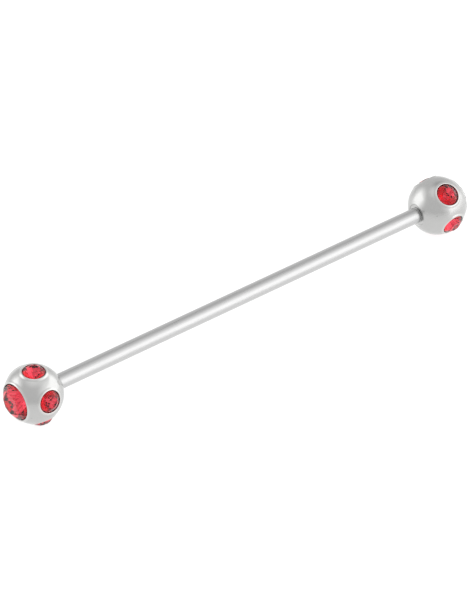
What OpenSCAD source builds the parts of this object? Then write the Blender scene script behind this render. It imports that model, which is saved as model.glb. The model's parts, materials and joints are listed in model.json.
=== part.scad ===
// Straight body-jewellery barbell: a steel bar with a removable, stone-set ball on each end.
// It lies along X on its balls, with the lowest stone on z = 0. Sizes are in millimetres.

/* [Bar] */
// Length of bare bar between the two balls
wear_length = 46; // [32:1:60]
// Diameter of the bar
bar_d = 1.6; // [1.5:0.05:1.8]

/* [Thread] */
// Diameter over the ridges of the thread on each end of the bar
thread_d = 1.2; // [1:0.05:1.3]
// Distance from one ridge to the next
thread_pitch = 0.25; // [0.2:0.05:0.4]
// Length of each thread
thread_length = 2.2; // [1.6:0.1:2.3]

/* [Balls] */
// Diameter of each ball
ball_d = 6; // [6:0.5:8]
// Diameter of the shallow recess that the end of the bar sits in
recess_d = 2.2; // [2:0.05:2.4]
// Depth of that recess
recess_depth = 0.15; // [0.1:0.05:0.4]

/* [Stones] */
// Diameter of the five stones round each ball
side_stone_d = 2.3; // [2:0.1:2.5]
// Diameter of the stone on the end of each ball
end_stone_d = 3.8; // [3:0.1:4]
// Turn of the left ball about the bar, which is how far its first stone is from straight up
left_turn = -2; // [-36:1:36]
// Turn of the right ball about the bar, which is how far its first stone is from straight up
right_turn = 180; // [144:1:216]

/* [Hidden] */
$fn = 96;

// The two ends of the bar, as the sign of their X
LEFT = -1;
RIGHT = 1;

// Stones round each ball, and how far each is turned from the first one. The holes are drilled by eye,
// so the spaces between them aren't quite alike.
side_stones = 5;
left_places = [0, 72, 152, 214, 284];
right_places = [0, 70, 144, 228, 294];

// How far each side stone's girdle lies below the rim of its hole. They are set by hand, so one
// stands a little prouder than the rest and two lie deeper.
left_sink = [0.06, 0.25, 0.06, 0, 0.06];
right_sink = [0.06, 0.06, 0.06, 0.3, 0.06];
end_sink = 0.06;

// Shape of a stone, as shares of its diameter
girdle_share = 0.03;
pavilion_share = 0.42;
lower_facet_share = 0.25;
side_crown_share = 0.19;
side_table_share = 0.5;
end_crown_share = 0.17;
end_table_share = 0.6;

// Sides of the table and of the girdle
table_sides = 8;
girdle_sides = 2 * table_sides;
facet_turn = 360 / girdle_sides;

// Depth of the thread as a share of its pitch, and the outline of one ridge, as [share of its depth,
// share of the pitch]
thread_depth_share = 0.6;
ridge = [[0, 0.1], [1, 0.45], [1, 0.65], [0, 1]];

// Small spaces, steps and edge breaks
stone_gap = 0.02;
seat_tip_gap = 0.1;
rim_break = 0.05;
thread_gap = 0.05;
floor_gap = 0.02;
thread_end_gap = 0.1;

// How far a cut runs past the face that it opens
over = 1;

ball_r = ball_d / 2;
bar_r = bar_d / 2;
recess_r = recess_d / 2;
thread_r = thread_d / 2;
thread_depth = thread_depth_share * thread_pitch;
thread_root_r = thread_r - thread_depth;

// Along the bar, from its middle: the mouth of a ball, its recess floor, the end face of the bar's
// full width, which meets that floor, and the tip of the thread
mouth_x = wear_length / 2;
floor_x = mouth_x + recess_depth;
seat_x = floor_x - floor_gap;
tip_x = seat_x + thread_length;

// Out from a ball's centre: its mouth, and the rims of the holes for its stones
mouth_out = sqrt(pow(ball_r, 2) - pow(recess_r, 2));
ball_x = mouth_x + mouth_out;
function rim_out(d) = sqrt(pow(ball_r, 2) - pow(d / 2 + stone_gap, 2));

// Out from a ball's centre: the table of a side stone
function table_out(sink) = rim_out(side_stone_d) - sink + side_crown_share * side_stone_d;

// How far below the bar's axis a side stone reaches when it is turned by angle from straight up
function reach(angle, sink) =
    -table_out(sink) * cos(angle) + side_table_share * side_stone_d / 2 * abs(sin(angle));

// Height of the bar's axis, with the lower ball standing on the floor
axis_z = max(concat(
    [ball_r],
    [for (k = [0 : side_stones - 1]) reach(left_turn + left_places[k], left_sink[k])],
    [for (k = [0 : side_stones - 1]) reach(right_turn + right_places[k], right_sink[k])]
));

function ring(r, z, sides, turn) =
    [for (i = [0 : sides - 1]) [r * cos(turn + 360 * i / sides), r * sin(turn + 360 * i / sides), z]];

// Round brilliant with its girdle's upper edge on z = 0 and its table up. The kites of the crown and
// of the pavilion are flat, because their side corners are put in the plane of their other two.
module brilliant(d, crown, table_share) {
    r = d / 2;
    table_r = table_share * r;
    star_r = (table_r + r) / 2;
    star_z = crown * (r - star_r * cos(facet_turn)) / (r - table_r);
    girdle_z = -girdle_share * d;
    pavilion = pavilion_share * d;
    lower_r = lower_facet_share * r;
    lower_z = girdle_z - pavilion * (1 - lower_r * cos(facet_turn) / r);

    sides = table_sides;
    rim = girdle_sides;
    table = 0;
    star = table + sides;
    upper = star + sides;
    lower = upper + rim;
    half = lower + rim;
    culet = half + sides;

    points = concat(
        ring(table_r, crown, sides, 0),
        ring(star_r, star_z, sides, facet_turn),
        ring(r, 0, rim, 0),
        ring(r, girdle_z, rim, 0),
        ring(lower_r, lower_z, sides, facet_turn),
        [[0, 0, girdle_z - pavilion]]
    );
    faces = concat(
        [[for (k = [sides - 1 : -1 : 0]) table + k]],
        [for (k = [0 : sides - 1]) [table + k, table + (k + 1) % sides, star + k]],
        [for (k = [0 : sides - 1]) [table + k, star + k, upper + 2 * k, star + (k + sides - 1) % sides]],
        [for (k = [0 : sides - 1]) [star + k, upper + 2 * k + 1, upper + 2 * k]],
        [for (k = [0 : sides - 1]) [star + k, upper + (2 * k + 2) % rim, upper + 2 * k + 1]],
        [for (j = [0 : rim - 1]) [upper + j, upper + (j + 1) % rim, lower + (j + 1) % rim, lower + j]],
        [for (k = [0 : sides - 1]) [half + k, lower + 2 * k, lower + 2 * k + 1]],
        [for (k = [0 : sides - 1]) [half + k, lower + 2 * k + 1, lower + (2 * k + 2) % rim]],
        [for (k = [0 : sides - 1]) [culet, half + (k + sides - 1) % sides, lower + 2 * k, half + k]]
    );
    polyhedron(points, faces);
}

// Hole for a stone, on the same origin as the stone: a point, a round wall and a broken rim
module seat(d, sink) {
    r = d / 2 + stone_gap;
    girdle_z = -girdle_share * d;
    tip_z = girdle_z - pavilion_share * d - seat_tip_gap;
    rim_z = sink - rim_break;
    rotate_extrude()
    polygon([[0, tip_z], [r, girdle_z], [r, rim_z], [r + over, rim_z + over], [0, rim_z + over]]);
}

// Puts its child on the centre of one end's ball, with the child's Z pointing out of that end
module on_end(end) {
    translate([end * ball_x, 0, axis_z]) rotate([0, end * 90, 0]) children();
}

// Puts its child in the ring of one end's ball, turned by angle from straight up, with the child's Z
// pointing out of the ball
module on_ring(end, angle) {
    translate([end * ball_x, 0, axis_z]) rotate([-angle, 0, 0]) children();
}

module side_stone(end, angle, sink) {
    color("crimson")
    on_ring(end, angle)
    translate([0, 0, rim_out(side_stone_d) - sink])
    brilliant(side_stone_d, side_crown_share * side_stone_d, side_table_share);
}

module end_stone(end) {
    color("crimson")
    on_end(end)
    translate([0, 0, rim_out(end_stone_d) - end_sink])
    brilliant(end_stone_d, end_crown_share * end_stone_d, end_table_share);
}

// Hole for the thread and recess for the bar, with a broken lip; Z points towards the bar
module socket() {
    hole_r = thread_r + thread_gap;
    recess_z = mouth_out - recess_depth;
    end_z = recess_z - floor_gap - thread_length - thread_end_gap;
    lip_z = mouth_out - rim_break;
    rotate_extrude()
    polygon([
        [0, end_z], [hole_r, end_z], [hole_r, recess_z], [recess_r, recess_z], [recess_r, lip_z],
        [recess_r + over, lip_z + over], [0, lip_z + over]
    ]);
}

module ball(end, turn, places, sink) {
    color("gainsboro")
    difference() {
        on_end(end) sphere(r = ball_r);
        on_end(end) rotate([180, 0, 0]) socket();
        on_end(end) translate([0, 0, rim_out(end_stone_d) - end_sink]) seat(end_stone_d, end_sink);
        for (k = [0 : side_stones - 1])
            on_ring(end, turn + places[k])
            translate([0, 0, rim_out(side_stone_d) - sink[k]])
            seat(side_stone_d, sink[k]);
    }
}

// Half of the bar's outline, as [radius, distance from the middle]
function bar_half() =
    let (ridges = floor(thread_length / thread_pitch) - 1)
    concat(
        [[bar_r, 0], [bar_r, seat_x], [thread_root_r, seat_x]],
        [for (i = [0 : ridges - 1], p = ridge)
            [thread_root_r + p[0] * thread_depth, seat_x + (i + p[1]) * thread_pitch]],
        [[thread_root_r, tip_x - rim_break], [thread_root_r - rim_break, tip_x], [0, tip_x]]
    );

module bar() {
    half = bar_half();
    last = len(half) - 1;
    mirrored = [for (i = [last : -1 : 1]) [half[i][0], -half[i][1]]];
    color("silver")
    translate([0, 0, axis_z])
    rotate([0, 90, 0])
    rotate_extrude()
    polygon(concat(mirrored, half));
}

module left_ball() { ball(LEFT, left_turn, left_places, left_sink); }
module right_ball() { ball(RIGHT, right_turn, right_places, right_sink); }
module left_side_stone(k) { side_stone(LEFT, left_turn + left_places[k - 1], left_sink[k - 1]); }
module right_side_stone(k) { side_stone(RIGHT, right_turn + right_places[k - 1], right_sink[k - 1]); }

bar();
left_ball();
right_ball();
end_stone(LEFT);  // left_end_stone
end_stone(RIGHT);  // right_end_stone
for (k = [1 : side_stones]) {
    left_side_stone(k);
    right_side_stone(k);
}
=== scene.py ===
# %% [markdown]
# An industrial barbell, built on its CAD frame
#
# The real object is a straight bar of surgical steel, 1.6 mm thick, with a 6 mm steel ball screwed on
# each end. Each ball is drilled in six places, and a foil-backed red glass stone is set in each hole:
# five small ones in a ring and a large one on the outer end.
#
# The CAD frame holds every piece at its real size and says how the balls come off. This script gives
# the pieces their looks. It keeps the frame's places, and replaces each plain solid with a finer
# surface that has rounded rims, a real screw thread and cut, foiled stones.

import json
import math

import bmesh
import bpy
import numpy as np
from mathutils import Matrix, Vector


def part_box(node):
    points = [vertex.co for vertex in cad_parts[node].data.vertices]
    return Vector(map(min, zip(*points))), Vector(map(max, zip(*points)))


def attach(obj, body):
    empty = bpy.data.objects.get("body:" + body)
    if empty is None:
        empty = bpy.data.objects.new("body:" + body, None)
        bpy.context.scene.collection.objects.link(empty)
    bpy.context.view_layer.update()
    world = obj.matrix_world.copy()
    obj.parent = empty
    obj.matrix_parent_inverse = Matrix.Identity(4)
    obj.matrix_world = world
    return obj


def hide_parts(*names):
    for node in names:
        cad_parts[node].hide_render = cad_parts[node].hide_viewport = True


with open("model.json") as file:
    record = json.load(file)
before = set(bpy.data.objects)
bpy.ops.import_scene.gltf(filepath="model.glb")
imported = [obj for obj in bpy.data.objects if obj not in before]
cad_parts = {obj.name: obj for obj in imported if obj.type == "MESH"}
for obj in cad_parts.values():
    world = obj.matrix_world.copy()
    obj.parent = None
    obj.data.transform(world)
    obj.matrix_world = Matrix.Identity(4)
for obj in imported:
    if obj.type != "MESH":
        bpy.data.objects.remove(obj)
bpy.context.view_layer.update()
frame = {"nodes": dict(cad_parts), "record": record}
MM = 0.001

bar_low, bar_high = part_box("bar")
axis_z = (bar_low.z + bar_high.z) / 2 / MM
print("bar axis", round(axis_z, 4), "mm above the floor; nodes:", len(frame["nodes"]))

# %% [markdown]
# The camera
#
# The photo looks down on the barbell from the left end's side, so the left ball is nearer and a little
# larger. The angles were found from the places of the stones on both balls. A long lens from 0.69 m
# gives the same slight shrinking towards the right ball, and the lens's length follows from the
# photo's scale of about 10 pixels to the millimetre. The photo isn't quite centred on the barbell, so
# the camera is moved a little sideways and down, with the point that it looks at.

# %% Camera
PHOTO_LONG_SIDE = 600
PIXELS_PER_MM = 9.99
SENSOR_MM = 36.0
AZIMUTH, ELEVATION = math.radians(-38.48), math.radians(35.95)
CAMERA_DISTANCE = 0.69
PAN_RIGHT, PAN_UP = -0.37, -0.23
CLIP_FROM, CLIP_TO = 0.01, 100


def direction(azimuth, elevation):
    """Unit vector at this azimuth and elevation, both in radians. Azimuth 0 is the front, -Y, and it grows
    towards +X."""
    flat = math.cos(elevation)
    return Vector((math.sin(azimuth) * flat, -math.cos(azimuth) * flat, math.sin(elevation)))


middle = Vector((0, 0, axis_z * MM))
towards_camera = direction(AZIMUTH, ELEVATION)
right = Vector((math.cos(AZIMUTH), math.sin(AZIMUTH), 0))
target = middle + (right * PAN_RIGHT + towards_camera.cross(right) * PAN_UP) * MM
camera = bpy.data.objects.new("camera", bpy.data.cameras.new("camera"))
bpy.context.scene.collection.objects.link(camera)
camera.location = target + towards_camera * CAMERA_DISTANCE
camera.rotation_mode = "QUATERNION"
camera.rotation_quaternion = towards_camera.to_track_quat("Z", "Y")
camera.data.sensor_width = SENSOR_MM
camera.data.lens = PIXELS_PER_MM / MM * CAMERA_DISTANCE / PHOTO_LONG_SIDE * SENSOR_MM
camera.data.clip_start, camera.data.clip_end = CLIP_FROM, CLIP_TO
bpy.context.scene.camera = camera
print("lens", round(camera.data.lens, 1), "mm")

# %% [markdown]
# Helpers for materials
#
# Colours are written as sRGB hex values, as a colour picker shows them. Shaders work with linear
# light, so one function turns them over. Another adds one node to a tree: an input that is given a
# socket is linked to it, and any other input is set on the node itself. The last two start a material,
# and turn the real size of a pattern into the scale of its texture.

# %% Colour and node helpers
def linear(hex_colour):
    """Linear RGBA of an sRGB hex colour: for each channel c, ((c + 0.055) / 1.055) to the power 2.4, or
    c / 12.92 in the darks."""
    c = np.array([int(hex_colour[i:i + 2], 16) for i in (1, 3, 5)]) / 255
    c = np.where(c > 0.04045, ((c + 0.055) / 1.055) ** 2.4, c / 12.92)
    return (*(float(x) for x in c), 1.0)


def add(tree, kind, inputs=None, **settings):
    """Adds a node of this kind with its settings, and sets or links its inputs."""
    node = tree.nodes.new(kind)
    for name, value in settings.items():
        setattr(node, name, value)
    for name, value in (inputs or {}).items():
        if isinstance(value, bpy.types.NodeSocket):
            tree.links.new(value, node.inputs[name])
        else:
            node.inputs[name].default_value = value
    return node


def new_material(name):
    """An empty material with its tree, and the tree's output node."""
    material = bpy.data.materials.new(name)
    material.use_nodes = True
    material.node_tree.nodes.clear()
    return material, material.node_tree, material.node_tree.nodes.new("ShaderNodeOutputMaterial")


def per_mm(size):
    """Texture scale, in features per metre, of a pattern whose features are this many millimetres apart."""
    return 1 / (size * MM)


print("pure red is", [round(x, 3) for x in linear("#FF0000")])

# %% [markdown]
# Floor and studio light
#
# The photo is a catalogue shot: a white ground and large soft lights, with almost no shadow. Polished
# metal shows nothing but its surroundings, so the lights are placed from what the balls mirror: a
# standing panel at the back left, a wide one at the front right, and pale grey all round that grows
# brighter overhead. A panel alone would leave hard edges in the metal. In a real studio it also lights
# the white cloth round it, so the surroundings glow softly about each panel. One patch of the metal is
# dimmer than the rest, so a soft grey card hangs high up on the right.
#
# The ground is a light table, a sheet of white acrylic lit from below, as photographers use it to lose
# the shadows. Nearly all its white comes from below, and what falls on it adds little, so nothing that
# stands on it darkens it. Its top is polished, which the coat gives: seen at a low angle, it mirrors the
# surroundings more and lets less of its own light out.

# %% Floor
FLOOR_RADIUS = 14.0
FLOOR_SIDES = 96


def floor_disc():
    """A flat disc of FLOOR_RADIUS metres round the origin: points at even turns of a circle, one face."""
    turn = 2 * np.pi * np.arange(FLOOR_SIDES) / FLOOR_SIDES
    points = np.column_stack([FLOOR_RADIUS * np.cos(turn), FLOOR_RADIUS * np.sin(turn), 0 * turn])
    mesh = bpy.data.meshes.new("floor")
    mesh.from_pydata(points.tolist(), [], [list(range(FLOOR_SIDES))])
    return bpy.data.objects.new("floor", mesh)


floor = floor_disc()
bpy.context.scene.collection.objects.link(floor)

acrylic, tree, out = new_material("backlit_opal_acrylic")
surface = add(tree, "ShaderNodeBsdfPrincipled", {
    "Base Color": linear("#6C6C6C"), "Roughness": 0.9, "Specular IOR Level": 0.0,
    "Coat Weight": 1.0, "Coat Roughness": 0.12, "Coat IOR": 1.49,
    "Emission Color": linear("#FFFFFF"), "Emission Strength": 1.0,
})
tree.links.new(surface.outputs["BSDF"], out.inputs["Surface"])
floor.data.materials.append(acrylic)
print("floor", 2 * FLOOR_RADIUS, "m across")

# %% Lights
PANEL_RADIANCE, PANEL_DISTANCE = 0.52, 0.8
BACK_LEFT, BACK_LEFT_SIZE = (-138, 18), (0.58, 0.55)
FRONT_RIGHT, FRONT_RIGHT_SIZE = (53, 18), (1.5, 0.6)


def softbox(name, place, size):
    """A light panel of this size in metres that faces the barbell; its power is pi x area x radiance."""
    data = bpy.data.lights.new(name, "AREA")
    data.shape, data.size, data.size_y = "RECTANGLE", *size
    data.energy = math.pi * size[0] * size[1] * PANEL_RADIANCE
    light = bpy.data.objects.new(name, data)
    bpy.context.scene.collection.objects.link(light)
    away = direction(*np.radians(place))
    light.location = middle + away * PANEL_DISTANCE
    light.rotation_mode = "QUATERNION"
    light.rotation_quaternion = away.to_track_quat("Z", "Y")
    light.visible_camera = False


softbox("back_left_panel", BACK_LEFT, BACK_LEFT_SIZE)
softbox("front_right_panel", FRONT_RIGHT, FRONT_RIGHT_SIZE)

# %% Surroundings
AROUND, OVERHEAD, OVERHEAD_FROM = 0.87, 1.25, 0.82
GLOW, PLATEAU = 0.54, 0.5
BACK_GLOW, FRONT_GLOW = (0.77, 0.65), (1.22, 0.85)
GREY_CARD, CARD_SIZE, CARD_SHADE = (110, 57), (0.62, 0.6), -0.25

world = bpy.data.worlds.new("studio")
bpy.context.scene.world = world
world.use_nodes = True
sky = world.node_tree
ray = add(sky, "ShaderNodeTexCoord").outputs["Generated"]


def glow(place, half_size, amount=GLOW):
    """Extra light round one direction. It goes by the length of the offset from that direction, after width
    and height are divided by their half sizes: full up to the plateau, and fading to nothing at 1."""
    towards = direction(*np.radians(place))
    offset = add(sky, "ShaderNodeVectorMath", {0: ray, 1: towards}, operation="SUBTRACT").outputs["Vector"]
    unit = (half_size[0], *half_size)
    shares = add(sky, "ShaderNodeVectorMath", {0: offset, 1: unit}, operation="DIVIDE").outputs["Vector"]
    away = add(sky, "ShaderNodeVectorMath", {0: shares}, operation="LENGTH").outputs["Value"]
    return add(sky, "ShaderNodeMapRange", {
        "Value": away, "From Min": PLATEAU, "From Max": 1.0, "To Min": amount, "To Max": 0.0,
    }, interpolation_type="SMOOTHSTEP").outputs["Result"]


height = add(sky, "ShaderNodeSeparateXYZ", {"Vector": ray}).outputs["Z"]
plain = add(sky, "ShaderNodeMapRange", {
    "Value": height, "From Min": OVERHEAD_FROM, "To Min": AROUND, "To Max": OVERHEAD,
})
glows = add(sky, "ShaderNodeMath", {0: glow(BACK_LEFT, BACK_GLOW), 1: glow(FRONT_RIGHT, FRONT_GLOW)})
shade = add(sky, "ShaderNodeMath", {0: glows.outputs["Value"], 1: glow(GREY_CARD, CARD_SIZE, CARD_SHADE)})
total = add(sky, "ShaderNodeMath", {0: plain.outputs["Result"], 1: shade.outputs["Value"]})
background = sky.nodes["Background"]
background.inputs["Color"].default_value = (1, 1, 1, 1)
sky.links.new(total.outputs["Value"], background.inputs["Strength"])
bpy.context.scene.view_settings.view_transform = "Standard"
print("surroundings", AROUND, "overhead", OVERHEAD, "round the panels", AROUND + GLOW)

# %% [markdown]
# Driving sizes
#
# These are the real object's sizes in millimetres, the same ones that the CAD frame was built from. Only
# the thread's groove in the socket isn't in the frame, whose bore is plain. The rest follows from the
# sizes: a hole's rim lies where the ball is as wide as the hole, and each stone's girdle sinks below
# that rim by a little, by more, or in one case not at all.

# %% Sizes
BALL_R = 3.0
BAR_R = frame["record"]["mounts"][0]["dims"]["r_mm"]
MOUTH_X = 23.0
RECESS_R, RECESS_DEPTH = 1.1, 0.15
HOLE_R, BORE_DEPTH, GROOVE_DEPTH = 0.65, 2.32, 0.08
SEAT_X, TIP_X = 23.13, 25.33
ROOT_R, TIP_BREAK = 0.45, 0.05
SIDE_D, END_D = 2.3, 3.8
STONE_GAP = 0.02
LEFT_TURN, RIGHT_TURN = -2, 180
LEFT_PLACES = (0, 72, 152, 214, 284)
RIGHT_PLACES = (0, 70, 144, 228, 294)
LEFT_SINK = (0.06, 0.25, 0.06, 0, 0.06)
RIGHT_SINK = (0.06, 0.06, 0.06, 0.3, 0.06)
END_SINK = 0.06
GIRDLE, PAVILION, SEAT_TIP_GAP = 0.03, 0.42, 0.1

mouth_out = math.sqrt(BALL_R ** 2 - RECESS_R ** 2)
ball_x = MOUTH_X + mouth_out


def rim_out(d):
    """How far out from the ball's centre the rim of a stone's hole lies, by Pythagoras."""
    return math.sqrt(BALL_R ** 2 - (d / 2 + STONE_GAP) ** 2)


for side, end in (("left", -1), ("right", 1)):
    span = [round(corner.x / MM, 3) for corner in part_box(side + "_ball")]
    print(side, "ball spans x", span, "round", round(end * ball_x, 3))

# %% [markdown]
# Where the stones point
#
# Each hole has its own small set of axes: one along the hole, out of the ball, and two across it. The
# five of the ring were drilled by eye, 62 to 84 degrees apart. The places of those that the photo shows
# were measured in it, and so was the turn of each ball about the bar. The others fill the spaces that
# are left.

# %% Axes of the holes
def ring_axes(turn):
    """Axes (across, across, out) of a hole in the ring: straight up, turned about the bar by this many
    degrees."""
    a = math.radians(turn)
    return np.array([[1, 0, 0], [0, math.cos(a), -math.sin(a)], [0, math.sin(a), math.cos(a)]])


def end_axes(end, towards_bar=False):
    """Axes of the hole on the outer end of a ball, or of the socket that faces the bar."""
    out = -end if towards_bar else end
    return np.array([[0, 0, -out], [0, 1, 0], [out, 0, 0]])


BALLS = {
    "left": {"end": -1, "turn": LEFT_TURN, "places": LEFT_PLACES, "sink": LEFT_SINK},
    "right": {"end": 1, "turn": RIGHT_TURN, "places": RIGHT_PLACES, "sink": RIGHT_SINK},
}
for ball in BALLS.values():
    ball["centre"] = np.array([ball["end"] * ball_x, 0, axis_z])
    ball["ring"] = [ring_axes(ball["turn"] + place) for place in ball["places"]]
    print("ring stones point", [np.round(axes[2], 2).tolist() for axes in ball["ring"]])

# %% [markdown]
# A ball's skin
#
# A ball could be cut from a sphere with seven holes, but cutting leaves ragged faces. Here the skin
# is seven round patches instead, one for each hole. A patch starts in the middle of its hole, runs up
# the wall, over the rounded rim and out over the sphere, and stops half way to the next hole. Half
# way between two holes is a plane, so both patches put the same points there, and they join cleanly.
# For that, each hole's place is a whole number of steps round the ring.

# %% Halfway lines and rims
STEPS_ROUND = 180
RIM_ROUNDING, MOUTH_ROUNDING, RIM_ROWS = 0.07, 0.1, 9
LIP_WIDTH, LIP_HEIGHT = 0.28, 0.05
around = 2 * np.pi * np.arange(STEPS_ROUND) / STEPS_ROUND


def halfway(axes, others):
    """Angle from the hole's axis to the line half way to the nearest other hole, for each step round it.

    For a hole at angle A from the axis, tan(angle) = tan(A / 2) / cos(step - that hole's own place)."""
    lines = []
    for out in others:
        place, apart = math.atan2(out @ axes[1], out @ axes[0]), math.acos(out @ axes[2])
        lines.append(np.arctan2(math.tan(apart / 2), np.cos(around - place)))
    return np.min(lines, axis=0)


def rounded_rim(radius, rounding, skin):
    """Outline of a rim as (radius, height): part of a small circle that touches the hole's wall and, from
    inside, a sphere whose radius is skin."""
    across = radius + rounding
    height = math.sqrt((skin - rounding) ** 2 - across ** 2)
    last = math.atan2(height, across)
    angle = np.linspace(math.pi, last, RIM_ROWS)
    return across + rounding * np.cos(angle), height + rounding * np.sin(angle)


def lip(points, holes):
    """How far the burnished lip round each stone stands above the ball: a cosine squared that falls from
    the rim across a band."""
    unit = points / np.linalg.norm(points, axis=-1, keepdims=True)
    total = np.zeros(points.shape[:-1])
    for axes, rim_angle in holes:
        share = (np.arccos(np.clip(unit @ axes[2], -1, 1)) - rim_angle) * BALL_R / LIP_WIDTH
        total += LIP_HEIGHT * np.cos(np.pi / 2 * np.clip(share, 0, 1)) ** 2
    return total


first, second = BALLS["left"]["ring"][:2]
nearest = math.degrees(halfway(first, [second[2]]).min())
print("half way from the first hole to the second:", round(nearest, 2), "degrees")

# %% Outlines of the holes
THREAD_PITCH, THREAD_DEPTH = 0.25, 0.15
RIDGE_PLACES, RIDGE_HEIGHTS = (0, 0.1, 0.45, 0.65, 1), (0, 0, 1, 1, 0)
ROWS_PER_TURN = 10
BOTTOM_ROUNDING = 0.02


def thread(x, turn):
    """Height of a right-hand screw thread, from 0 to 1, at a place x along its axis and an angle round it.

    One ridge's outline is read at the fraction left over from x / pitch - turn / full turn."""
    return np.interp((x / THREAD_PITCH - turn / (2 * np.pi)) % 1, RIDGE_PLACES, RIDGE_HEIGHTS)


def fade(x, low, high, width):
    """Rises from 0 to 1 over a width from the low end, and falls again before the high end."""
    return np.clip(np.minimum(x - low, high - x) / width, 0, 1)


def stone_hole(d, sink):
    """Outline of a stone's hole from its tip to the ball's skin: a cone, a straight wall, a round rim."""
    radius = d / 2 + STONE_GAP
    girdle_low = rim_out(d) - sink - GIRDLE * d
    rim_r, rim_z = rounded_rim(radius, RIM_ROUNDING, BALL_R + LIP_HEIGHT)
    r = np.concatenate([[0, radius], rim_r])
    z = np.concatenate([[girdle_low - PAVILION * d - SEAT_TIP_GAP, girdle_low], rim_z])
    return np.repeat(r[:, None], STEPS_ROUND, axis=1), z


def socket_hole():
    """Outline of the socket from the bottom of its screw thread to the ball's skin: a bore, a flat floor, a
    wall and a rounded lip. The bore's radius grows by the thread's groove."""
    floor_z = mouth_out - RECESS_DEPTH
    end_z = floor_z - BORE_DEPTH
    rim_r, rim_z = rounded_rim(RECESS_R, MOUTH_ROUNDING, BALL_R)
    bore_z = np.linspace(end_z, floor_z, round(BORE_DEPTH / THREAD_PITCH * ROWS_PER_TURN))
    groove = thread(bore_z[:, None], around) * fade(bore_z, end_z, floor_z, THREAD_PITCH)[:, None]
    bore_r = HOLE_R + GROOVE_DEPTH * groove
    plain_r = np.concatenate([[RECESS_R - BOTTOM_ROUNDING, RECESS_R], rim_r])
    r = np.concatenate([0 * bore_r[:1], bore_r, np.repeat(plain_r[:, None], STEPS_ROUND, axis=1)])
    z = np.concatenate([[end_z], bore_z, [floor_z, floor_z + BOTTOM_ROUNDING], rim_z])
    return r, z


for name, (r, z) in (("end stone's", stone_hole(END_D, END_SINK)), ("thread's", socket_hole())):
    end_out = round(float(np.hypot(r[-1, 0], z[-1])), 4)
    print("the", name, "hole has", len(r), "rows and ends", end_out, "mm from the centre")

# %% Faces of a surface
def ring_quads(rows, columns, first=0):
    """Quads between the rows of a grid whose columns close into a ring. They face out where the rows run
    outwards from the axis and the columns run anticlockwise."""
    index = first + np.arange(rows * columns).reshape(rows, columns)
    low, high = index[:-1], index[1:]
    return np.stack([low, high, np.roll(high, -1, 1), np.roll(low, -1, 1)], -1).reshape(-1, 4)


print("a ring of 3 rows and 8 columns has", len(ring_quads(3, 8)), "quads")

# %% From points to a piece
WELD = 1e-4


def make_piece(name, points, faces, body, node, sharp=40, bevel=0, slots=None):
    """A mesh object from points in millimetres. Points closer than WELD are joined, and edges can be
    bevelled. Faces that meet at less than sharp degrees are shaded as one. The result is scaled to metres
    and rides on its body in place of its CAD node."""
    mesh = bpy.data.meshes.new(name)
    mesh.from_pydata(points.tolist(), [], [list(f) for f in faces])
    if slots is not None:
        mesh.polygons.foreach_set("material_index", np.asarray(slots, np.int32))
    work = bmesh.new()
    work.from_mesh(mesh)
    bmesh.ops.remove_doubles(work, verts=work.verts, dist=WELD)
    if bevel:
        bmesh.ops.bevel(work, geom=work.edges, offset=bevel, offset_type="OFFSET", segments=1,
                        profile=0.5, affect="EDGES", clamp_overlap=True, material=-1)
    work.to_mesh(mesh)
    work.free()
    mesh.transform(Matrix.Scale(MM, 4))
    if sharp:
        mesh.shade_smooth()
        mesh.set_sharp_from_angle(angle=math.radians(sharp))
    piece = bpy.data.objects.new(name, mesh)
    bpy.context.scene.collection.objects.link(piece)
    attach(piece, body)
    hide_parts(node)
    return piece


def places(piece):
    """A piece's points in millimetres, as an array with a row each."""
    flat = np.empty(len(piece.data.vertices) * 3, np.float32)
    piece.data.vertices.foreach_get("co", flat)
    return flat.reshape(-1, 3).astype(float) / MM


def note(piece, name, values, domain="POINT"):
    """Keeps one number for each point or face of a piece, for its material to read."""
    piece.data.attributes.new(name, "FLOAT", domain).data.foreach_set("value", values.astype(np.float32))


print("points are joined within", WELD, "mm")

# %% Balls
ROWS_OUT = 24
ROW_SPREAD = 1.3


def patch(axes, outline, others, holes):
    """Points of the skin round one hole: the hole's outline turned about its axis, and then rows that
    go on over the ball at growing shares of the angle that is left to the halfway line."""
    r, z = outline
    ring = np.cos(around)[:, None] * axes[0] + np.sin(around)[:, None] * axes[1]
    inner = r[..., None] * ring + z[:, None, None] * axes[2]
    start = math.atan2(r[-1, 0], z[-1])
    share = (np.arange(1, ROWS_OUT + 1) / ROWS_OUT) ** ROW_SPREAD
    angle = start + (halfway(axes, others) - start) * share[:, None]
    outer = np.cos(angle)[..., None] * axes[2] + np.sin(angle)[..., None] * ring
    outer = outer * (BALL_R + lip(outer, holes))[..., None]
    return np.concatenate([inner, outer])


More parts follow.
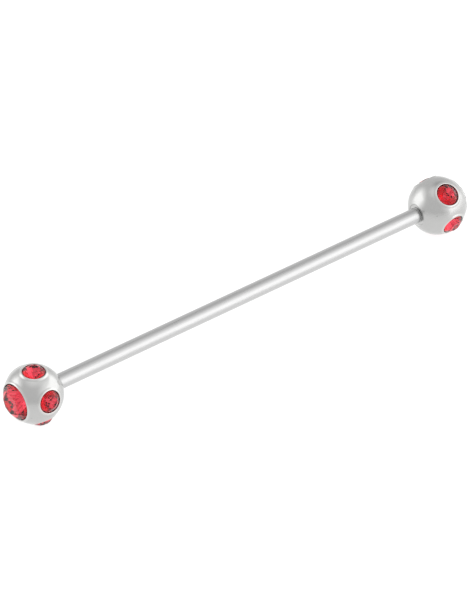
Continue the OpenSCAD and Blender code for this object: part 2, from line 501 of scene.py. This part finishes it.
def make_ball(side):
    """The skin of one ball: its seven patches, moved out to the ball's centre. For its material it keeps how
    deep each point lies, and how far up the lip."""
    ball = BALLS[side]
    start = ball["ring"][0][2]
    every = list(ball["ring"])
    for towards_bar in (False, True):
        out = end_axes(ball["end"], towards_bar)[2]
        every.append(np.array([start, np.cross(out, start), out]))
    outlines = [stone_hole(SIDE_D, sink) for sink in ball["sink"]]
    outlines += [stone_hole(END_D, END_SINK), socket_hole()]
    holes = [(axes, math.atan2(r[-1, 0], z[-1])) for axes, (r, z) in zip(every[:-1], outlines)]
    patches = []
    for axes, outline in zip(every, outlines):
        others = [other[2] for other in every if other is not axes]
        patches.append(patch(axes, outline, others, holes))
    first, quads = 0, []
    for p in patches:
        quads.append(ring_quads(*p.shape[:2], first))
        first += p.shape[0] * p.shape[1]
    points = np.concatenate([p.reshape(-1, 3) for p in patches]) + ball["centre"]
    piece = make_piece(side + "_ball_skin", points, np.concatenate(quads), side + "_end", side + "_ball")
    out = places(piece) - ball["centre"]
    in_socket = (out[:, 0] * ball["end"] < 0) & (np.hypot(out[:, 1], out[:, 2]) < RECESS_R + MOUTH_ROUNDING)
    note(piece, "depth", np.where(in_socket, 0, BALL_R - np.linalg.norm(out, axis=1)))
    note(piece, "lip_highlight", lip(out, holes) / LIP_HEIGHT)
    return piece


balls = {side: make_ball(side) for side in BALLS}
for piece in balls.values():
    print(piece.name, len(piece.data.vertices), "points,", len(piece.data.polygons), "faces")

# %% [markdown]
# The bar
#
# The real bar is ground round, polished and threaded at both ends. A lathe-like spin of one outline
# would give it, but the thread would then be a stack of rings. So the outline is turned about the axis
# in code, and along the thread its radius also depends on the angle, so that the ridge climbs by one
# pitch for each turn.

# %% Bar
BAR_STEPS, SHAFT_ROWS = 96, 24
END_BREAK = 0.03


def bar_rows():
    """Rows of the right half of the bar as (distance from the middle, radius with no ridge, share of the
    thread's ridge that shows): shaft, broken edge, seat, thread and broken tip."""
    shaft_x = np.linspace(0, SEAT_X - END_BREAK, SHAFT_ROWS)
    shaft = np.column_stack([shaft_x, np.full(SHAFT_ROWS, BAR_R), np.zeros(SHAFT_ROWS)])
    seat = [[SEAT_X, BAR_R - END_BREAK, 0], [SEAT_X, ROOT_R, 0]]
    x = np.linspace(SEAT_X, TIP_X - TIP_BREAK, round((TIP_X - SEAT_X) / THREAD_PITCH * ROWS_PER_TURN))
    screw = np.column_stack([x, np.full(len(x), ROOT_R), fade(x, SEAT_X, TIP_X - TIP_BREAK, THREAD_PITCH)])
    tip = [[TIP_X, ROOT_R - TIP_BREAK, 0], [TIP_X, 0, 0]]
    return np.concatenate([shaft, seat, screw[1:], tip])


def make_bar():
    """Both halves of the outline turned about the bar, anticlockwise as seen from its left tip."""
    half = bar_rows()
    rows = np.concatenate([half[:0:-1] * (-1, 1, 1), half])
    turn = 2 * np.pi * np.arange(BAR_STEPS) / BAR_STEPS
    radius = rows[:, 1:2] + THREAD_DEPTH * rows[:, 2:] * thread(rows[:, :1], -turn)
    x = np.repeat(rows[:, :1], BAR_STEPS, axis=1)
    points = np.stack([x, radius * np.cos(turn), axis_z - radius * np.sin(turn)], -1)
    faces = ring_quads(*x.shape)
    return make_piece("threaded_bar", points.reshape(-1, 3), faces, "bar", "bar")


bar = make_bar()
print(bar.name, len(bar.data.polygons), "faces")

# %% [markdown]
# The stones
#
# Each is a round brilliant: an eight-sided table, a crown of flat facets, a thin girdle and a deep
# pointed pavilion. The real ones are red glass whose pavilion is silvered like a mirror, so light
# goes in through the crown, bounces off the foil and comes out redder. Both parts are modelled, as
# one closed surface with glass above and foil below. It could be cut from a cone with a plane for each
# facet, as a cutter works, but joining the corners, which simple formulas give, makes the same flat
# facets with no stray edges. The silver and its lacquer are never quite alike on two facets, so each
# facet is given a tone of its own.

# %% Facets
TABLE_SIDES = 8
LOWER_FACET = 0.25
SIDE_CROWN, SIDE_TABLE = 0.19, 0.5
END_CROWN, END_TABLE = 0.17, 0.6


def corners(radius, height, sides, start=0):
    """Points at even turns of a circle, the first one at a start angle in degrees."""
    turn = np.radians(start) + 2 * np.pi * np.arange(sides) / sides
    return np.column_stack([radius * np.cos(turn), radius * np.sin(turn), np.full(sides, height)])


def brilliant(d, crown, table_share):
    """Points, faces and foil flags of a round brilliant whose girdle's upper edge is at height 0. The side
    corners of each kite are put in the plane of its other two, so that it is flat."""
    r, half = d / 2, 180 / TABLE_SIDES
    table_r, low = table_share * r, -GIRDLE * d
    star_r = (table_r + r) / 2
    star_z = crown * (r - star_r * math.cos(math.radians(half))) / (r - table_r)
    lower_r = LOWER_FACET * r
    lower_z = low - PAVILION * d * (1 - lower_r * math.cos(math.radians(half)) / r)
    points = np.concatenate([
        corners(table_r, crown, TABLE_SIDES), corners(star_r, star_z, TABLE_SIDES, half),
        corners(r, 0, 2 * TABLE_SIDES), corners(r, low, 2 * TABLE_SIDES),
        corners(lower_r, lower_z, TABLE_SIDES, half), [[0, 0, low - PAVILION * d]],
    ])
    ring_ends = np.cumsum(TABLE_SIDES * np.array([1, 1, 2, 2, 1]))
    table, star, upper, lower, tip_ring, culet = np.split(np.arange(len(points)), ring_ends)
    culet = np.repeat(culet, TABLE_SIDES)
    glass = [
        [star, np.roll(table, -1), table],
        [np.roll(star, 1), upper[::2], star, table],
        [upper[::2], upper[1::2], star],
        [upper[1::2], np.roll(upper, -2)[::2], star],
    ]
    foil = [
        [lower, np.roll(lower, -1), np.roll(upper, -1), upper],
        [lower[1::2], lower[::2], tip_ring],
        [np.roll(lower, -2)[::2], lower[1::2], tip_ring],
        [tip_ring, lower[::2], np.roll(tip_ring, 1), culet],
    ]
    glass_faces = [table.tolist()] + [face for part in glass for face in np.column_stack(part).tolist()]
    foil_faces = [face for part in foil for face in np.column_stack(part).tolist()]
    faces = glass_faces + foil_faces
    return points, faces, np.arange(len(faces)) >= len(glass_faces)


points, faces, foiled = brilliant(SIDE_D, SIDE_CROWN * SIDE_D, SIDE_TABLE)
print("a stone has", len(points), "corners and", len(faces), "facets,", foiled.sum(), "of them foiled")

# %% Stones
FACET_EDGE = 0.012
MAIN_REACH = 0.55
TONE_SEED, DEEPEST_TONE = 4, 0.6
tones = np.random.default_rng(TONE_SEED).uniform(0, DEEPEST_TONE, 3 * TABLE_SIDES)


def facet_tones(piece, side, axes):
    """One tone for each face: those near the culet take theirs by the eighth of a turn that they lie in,
    and those near the girdle by the sixteenth."""
    flat = np.empty(len(piece.data.polygons) * 3, np.float32)
    piece.data.polygons.foreach_get("center", flat)
    x, y = ((flat.reshape(-1, 3) / MM - BALLS[side]["centre"]) @ axes.T).T[:2]
    turn = np.arctan2(y, x) / (2 * np.pi) % 1
    main = np.round(turn * TABLE_SIDES).astype(int) % TABLE_SIDES
    half = TABLE_SIDES + np.floor(turn * 2 * TABLE_SIDES).astype(int) % (2 * TABLE_SIDES)
    return tones[np.where(np.hypot(x, y) < MAIN_REACH * np.hypot(x, y).max(), main, half)]


def make_stone(side, label, axes, d, sink, crown, table_share):
    """One stone in its hole: the brilliant, turned to the hole's axes and moved out to the hole's rim. For
    its material it keeps how far out each point lies, and each face's tone."""
    points, faces, foiled = brilliant(d, crown * d, table_share)
    placed = BALLS[side]["centre"] + (points + (0, 0, rim_out(d) - sink)) @ axes
    node = f"{side}_{label}"
    piece = make_piece(node + "_cut", placed, faces, side + "_end", node, sharp=0,
                       bevel=FACET_EDGE, slots=foiled)
    across = (places(piece) - BALLS[side]["centre"]) @ axes[:2].T
    note(piece, "edge", np.hypot(across[:, 0], across[:, 1]) / (d / 2))
    note(piece, "tone", facet_tones(piece, side, axes), "FACE")
    return piece


stones = []
for side, ball in BALLS.items():
    axes = end_axes(ball["end"])
    stones.append(make_stone(side, "end_stone", axes, END_D, END_SINK, END_CROWN, END_TABLE))
    for k, (axes, sink) in enumerate(zip(ball["ring"], ball["sink"]), start=1):
        stones.append(make_stone(side, f"side_stone_{k}", axes, SIDE_D, sink, SIDE_CROWN, SIDE_TABLE))
print(len(stones), "stones of", len(stones[0].data.polygons), "faces")

# %% [markdown]
# Polished surgical steel
#
# Grade 316L steel is turned, ground and then tumbled and buffed. That leaves a bright, slightly warm
# grey that still blurs what it mirrors, with faint hairlines and soft unevenness. A perfect mirror would
# look like chrome plate, and an even blur like paint, so noise of two sizes varies the blur and the
# height, and a third one, drawn out into lines, adds the hairlines.
#
# The lip round each stone was rubbed down over it with a hard tool. Its metal is painted a little
# lighter, a painted highlight for the bright ring that it catches, and the grooves inside the lips are
# painted darker, a painted shade where little light reaches. The material finds both places by the
# numbers that were kept with the skin's points.
#
# The lines that grinding leaves are really about 0.01 mm wide, on the balls and on the bar. They are
# drawn about ten times as wide here so that they show at all.

# %% Ball steel
# Nearly all of Blender's noise lies between these two values
NOISE_LOW, NOISE_HIGH = 0.3, 0.7
# Sizes of the patterns in millimetres, and the turn and stretch that make hairlines of one
CLOUD, SWELL, HAIRLINE = 0.8, 1.2, 0.1
HAIRLINE_TURN, HAIRLINE_STRETCH = (0.4, 0.9, 0.3), (1, 0.12, 1)
# Depths below the ball's skin, in millimetres, where the painted shade starts and where it is full
RECESS_SHADE_FROM, RECESS_SHADE_FULL = 0.05, 0.12


def tumbled_steel():
    """Ball material: grey metal, blurred by wear, with a painted highlight on the lips and painted shade
    that darkens it with depth.
    """
    material, tree, out = new_material("tumbled_surgical_steel")
    place = add(tree, "ShaderNodeTexCoord").outputs["Object"]
    # Painted shade: deeper below the ball's skin, in the grooves inside the lips, the metal is painted
    # darker
    depth = add(tree, "ShaderNodeAttribute", attribute_name="depth").outputs["Fac"]
    recess_shade = add(tree, "ShaderNodeMapRange", {
        "Value": depth, "From Min": RECESS_SHADE_FROM, "From Max": RECESS_SHADE_FULL,
    })
    # Painted highlight: up on the lips round the stones the metal is painted lighter
    lip_highlight = add(tree, "ShaderNodeAttribute", attribute_name="lip_highlight").outputs["Fac"]
    highlighted = add(tree, "ShaderNodeMix", {
        "Factor": lip_highlight, "A": linear("#BBBBBA"), "B": linear("#CBCBC9"),
    }, data_type="RGBA")
    colour = add(tree, "ShaderNodeMix", {
        "Factor": recess_shade.outputs["Result"], "A": highlighted.outputs["Result"], "B": linear("#3E3836"),
    }, data_type="RGBA")
    cloud = add(tree, "ShaderNodeTexNoise", {"Vector": place, "Scale": per_mm(CLOUD), "Detail": 3.0})
    rough = add(tree, "ShaderNodeMapRange", {
        "Value": cloud.outputs["Fac"], "From Min": NOISE_LOW, "From Max": NOISE_HIGH,
        "To Min": 0.16, "To Max": 0.24,
    })
    along = add(tree, "ShaderNodeMapping", {
        "Vector": place, "Rotation": HAIRLINE_TURN, "Scale": HAIRLINE_STRETCH,
    })
    lines = add(tree, "ShaderNodeTexNoise", {
        "Vector": along.outputs["Vector"], "Scale": per_mm(HAIRLINE), "Detail": 2.0,
    })
    swell = add(tree, "ShaderNodeTexNoise", {"Vector": place, "Scale": per_mm(SWELL), "Detail": 1.0})
    waves = add(tree, "ShaderNodeBump", {
        "Height": swell.outputs["Fac"], "Distance": 0.02 * MM, "Strength": 0.5,
    })
    hair = add(tree, "ShaderNodeBump", {
        "Height": lines.outputs["Fac"], "Distance": 0.001 * MM, "Strength": 0.5,
        "Normal": waves.outputs["Normal"],
    })
    metal = add(tree, "ShaderNodeBsdfPrincipled", {
        "Base Color": colour.outputs["Result"], "Metallic": 1.0, "Roughness": rough.outputs["Result"],
        "Normal": hair.outputs["Normal"],
    })
    tree.links.new(metal.outputs["BSDF"], out.inputs["Surface"])
    return material


ball_steel = tumbled_steel()
for piece in balls.values():
    piece.data.materials.append(ball_steel)
print("ball steel on", [piece.name for piece in balls.values()])

# %% Bar steel
BAR_LINE, BAR_STRETCH = 0.12, (0.04, 1, 1)


def ground_steel():
    """Bar material: grey metal with fine lines along the bar, from grinding and buffing it lengthwise. The
    lines are noise that is drawn out 25 times along the bar."""
    material, tree, out = new_material("ground_surgical_steel")
    place = add(tree, "ShaderNodeTexCoord").outputs["Object"]
    along = add(tree, "ShaderNodeMapping", {"Vector": place, "Scale": BAR_STRETCH})
    lines = add(tree, "ShaderNodeTexNoise", {
        "Vector": along.outputs["Vector"], "Scale": per_mm(BAR_LINE), "Detail": 3.0,
    })
    rough = add(tree, "ShaderNodeMapRange", {
        "Value": lines.outputs["Fac"], "From Min": NOISE_LOW, "From Max": NOISE_HIGH,
        "To Min": 0.26, "To Max": 0.34,
    })
    hair = add(tree, "ShaderNodeBump", {
        "Height": lines.outputs["Fac"], "Distance": 0.002 * MM, "Strength": 0.5,
    })
    metal = add(tree, "ShaderNodeBsdfPrincipled", {
        "Base Color": linear("#C1C1C1"), "Metallic": 1.0, "Roughness": rough.outputs["Result"],
        "Normal": hair.outputs["Normal"],
    })
    tree.links.new(metal.outputs["BSDF"], out.inputs["Surface"])
    return material


bar.data.materials.append(ground_steel())
print("bar steel on", bar.name)

# %% [markdown]
# Red glass and its foil
#
# The glass is lead-free crystal, pressed and polished, with an index of refraction of about 1.54. It is
# tinted a light red, and the tint adds up, because light crosses the stone several times. The foil is a
# silver mirror under red lacquer: each bounce off it darkens the light, which is why one facet is bright
# and the next nearly black. A plain glossy red would show none of that.
#
# The surroundings here are white on all sides, and their full reflection on the glass would turn the
# stones pink. So the glass gives back a little less than half of what its surface really would.
#
# Light goes to and fro between foil and crown more often than Blender lets it by default, and a path
# that is cut short shows as black. So the limit on mirror bounces is raised.

# %% Glass
GLASS_WEAR = 0.4


def red_glass():
    """Crown material: clear light red glass with a hint of wear in its polish."""
    material, tree, out = new_material("polished_red_crystal")
    place = add(tree, "ShaderNodeTexCoord").outputs["Object"]
    wear = add(tree, "ShaderNodeTexNoise", {"Vector": place, "Scale": per_mm(GLASS_WEAR), "Detail": 3.0})
    rough = add(tree, "ShaderNodeMapRange", {
        "Value": wear.outputs["Fac"], "From Min": 0.45, "From Max": 0.75, "To Min": 0.0, "To Max": 0.08,
    })
    glass = add(tree, "ShaderNodeBsdfPrincipled", {
        "Base Color": linear("#FDBCCB"), "Transmission Weight": 1.0, "IOR": 1.54,
        "Roughness": rough.outputs["Result"], "Specular Tint": (0.45, 0.45, 0.45, 1),
    })
    tree.links.new(glass.outputs["BSDF"], out.inputs["Surface"])
    return material


glass = red_glass()
print("crown of", glass.name)

# %% Foil
FOIL_CLOUD = 0.5
# Shares of the stone's radius where the painted shade at the girdle starts and where it is darkest
GIRDLE_SHADE_FROM, GIRDLE_SHADE_FULL = 0.79, 0.95


def silver_foil():
    """Pavilion material: vacuum-silvered and lacquered, a slightly cloudy red mirror with a tone of its own
    on each facet, and painted shade that darkens it towards the girdle."""
    material, tree, out = new_material("lacquered_silver_foil")
    place = add(tree, "ShaderNodeTexCoord").outputs["Object"]
    cloud = add(tree, "ShaderNodeTexNoise", {"Vector": place, "Scale": per_mm(FOIL_CLOUD), "Detail": 2.0})
    colour = add(tree, "ShaderNodeMix", {
        "Factor": cloud.outputs["Fac"], "A": linear("#FF6E7C"), "B": linear("#F8606E"),
    }, data_type="RGBA")
    tone = add(tree, "ShaderNodeAttribute", attribute_name="tone").outputs["Fac"]
    toned = add(tree, "ShaderNodeMix", {
        "Factor": tone, "A": colour.outputs["Result"], "B": linear("#A82634"),
    }, data_type="RGBA")
    # Painted shade: near the girdle, where the stone sits in its hole, the foil is painted dark red
    edge = add(tree, "ShaderNodeAttribute", attribute_name="edge").outputs["Fac"]
    girdle_shade = add(tree, "ShaderNodeMapRange", {
        "Value": edge, "From Min": GIRDLE_SHADE_FROM, "From Max": GIRDLE_SHADE_FULL,
    })
    girdle_shaded = add(tree, "ShaderNodeMix", {
        "Factor": girdle_shade.outputs["Result"], "A": toned.outputs["Result"], "B": linear("#5A0F18"),
    }, data_type="RGBA")
    foil = add(tree, "ShaderNodeBsdfPrincipled", {
        "Base Color": girdle_shaded.outputs["Result"], "Metallic": 1.0, "Roughness": 0.06,
    })
    tree.links.new(foil.outputs["BSDF"], out.inputs["Surface"])
    return material


foil = silver_foil()
print("pavilion of", foil.name)

# %% Glass and foil on the stones
MIRROR_BOUNCES = 12
bpy.context.scene.cycles.glossy_bounces = MIRROR_BOUNCES
for stone in stones:
    for material in (glass, foil):
        stone.data.materials.append(material)
print("glass and foil on", len(stones), "stones")
